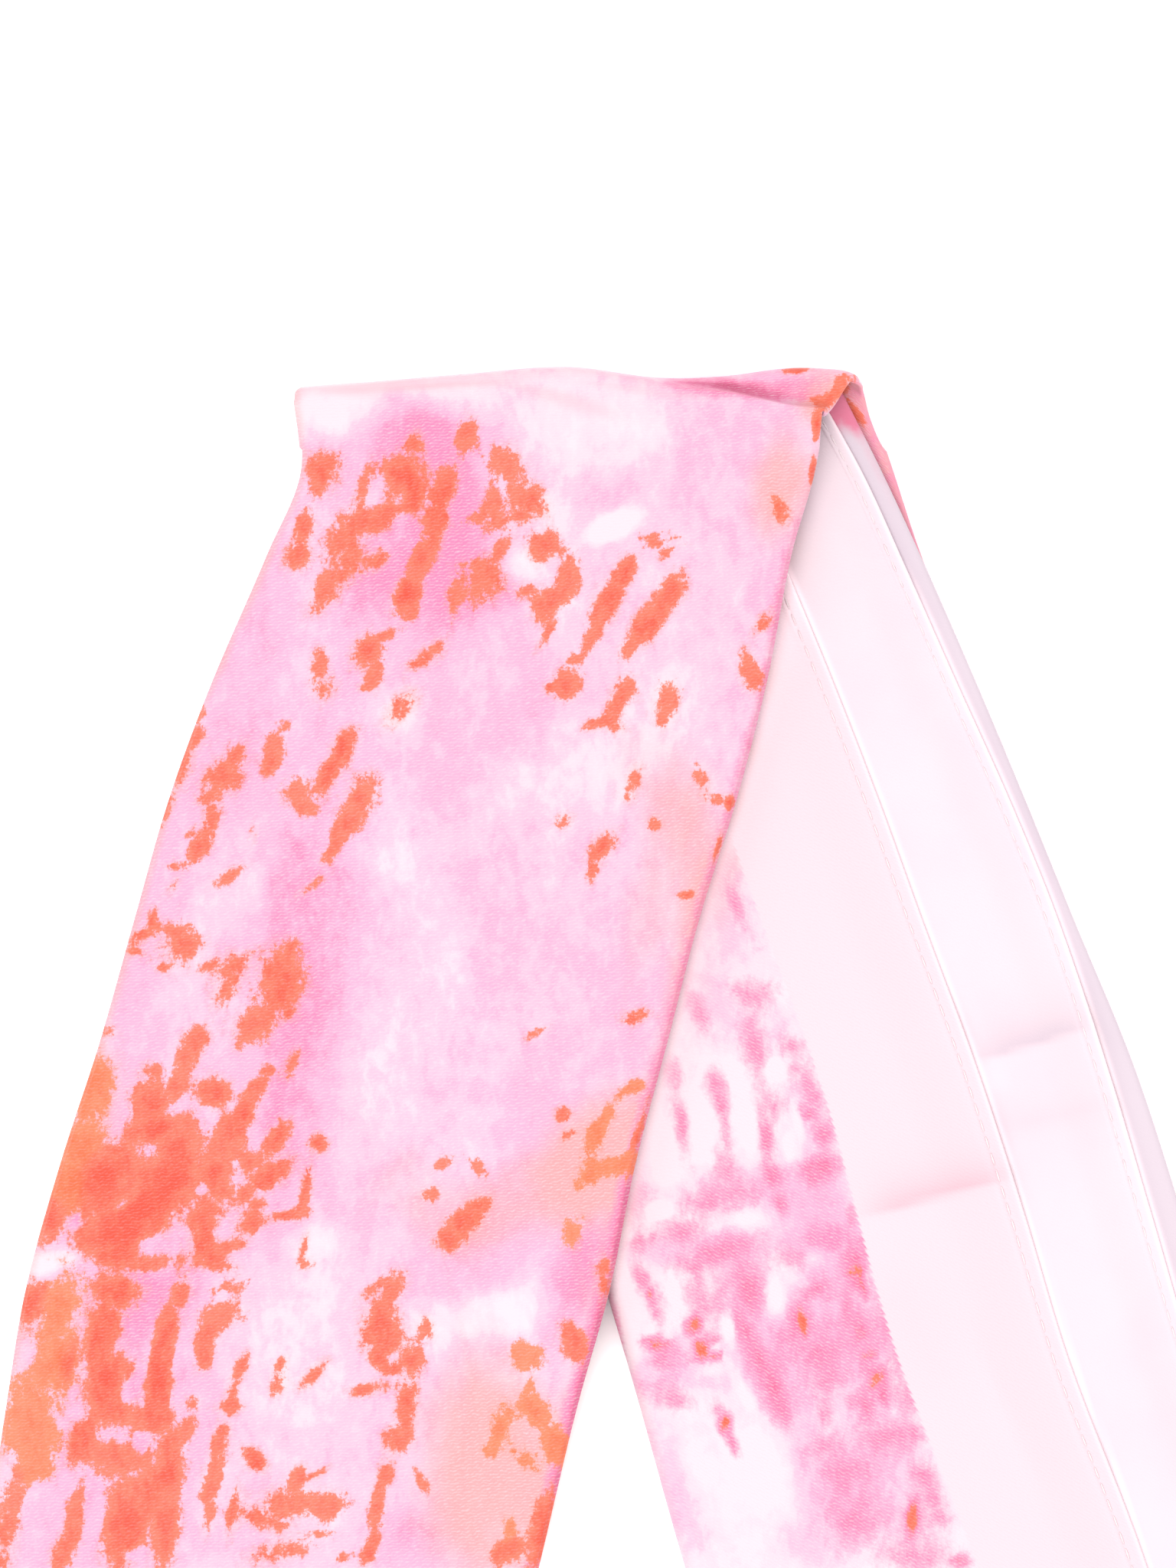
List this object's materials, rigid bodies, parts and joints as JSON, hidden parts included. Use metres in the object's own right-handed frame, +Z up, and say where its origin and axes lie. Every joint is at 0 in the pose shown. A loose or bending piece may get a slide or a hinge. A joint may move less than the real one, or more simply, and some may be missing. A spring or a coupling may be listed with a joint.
{
  "type": "bandana",
  "caption": "Square tie-dyed bandana with a plain border, folded lengthwise into a band and doubled over, laid flat as an upside-down V.",
  "frame": {"origin": "on the surface that it lies on, under the middle of its outline", "axes": "+X to the right across both falls, +Y from the free ends towards the turn, +Z up from the surface"},
  "size_m": [0.2294, 0.2832, 0.0088],
  "materials": {
    "printed_satin": "light polyester satin, tie-dyed in lilac pink, hot pink and orange on its face",
    "plain_satin": "the same cloth unprinted, white with a faint pink cast",
    "hem": "narrow double-turned hem, lockstitched in white thread"
  },
  "bodies": {
    "root": {"top_turn": "printed_satin", "front_fall": "printed_satin", "outermost_layer": "printed_satin", "lower_flap": "plain_satin", "middle_flap": "plain_satin", "middle_hem": "hem", "top_flap": "printed_satin", "top_hem": "hem"}
  },
  "joints": []
}
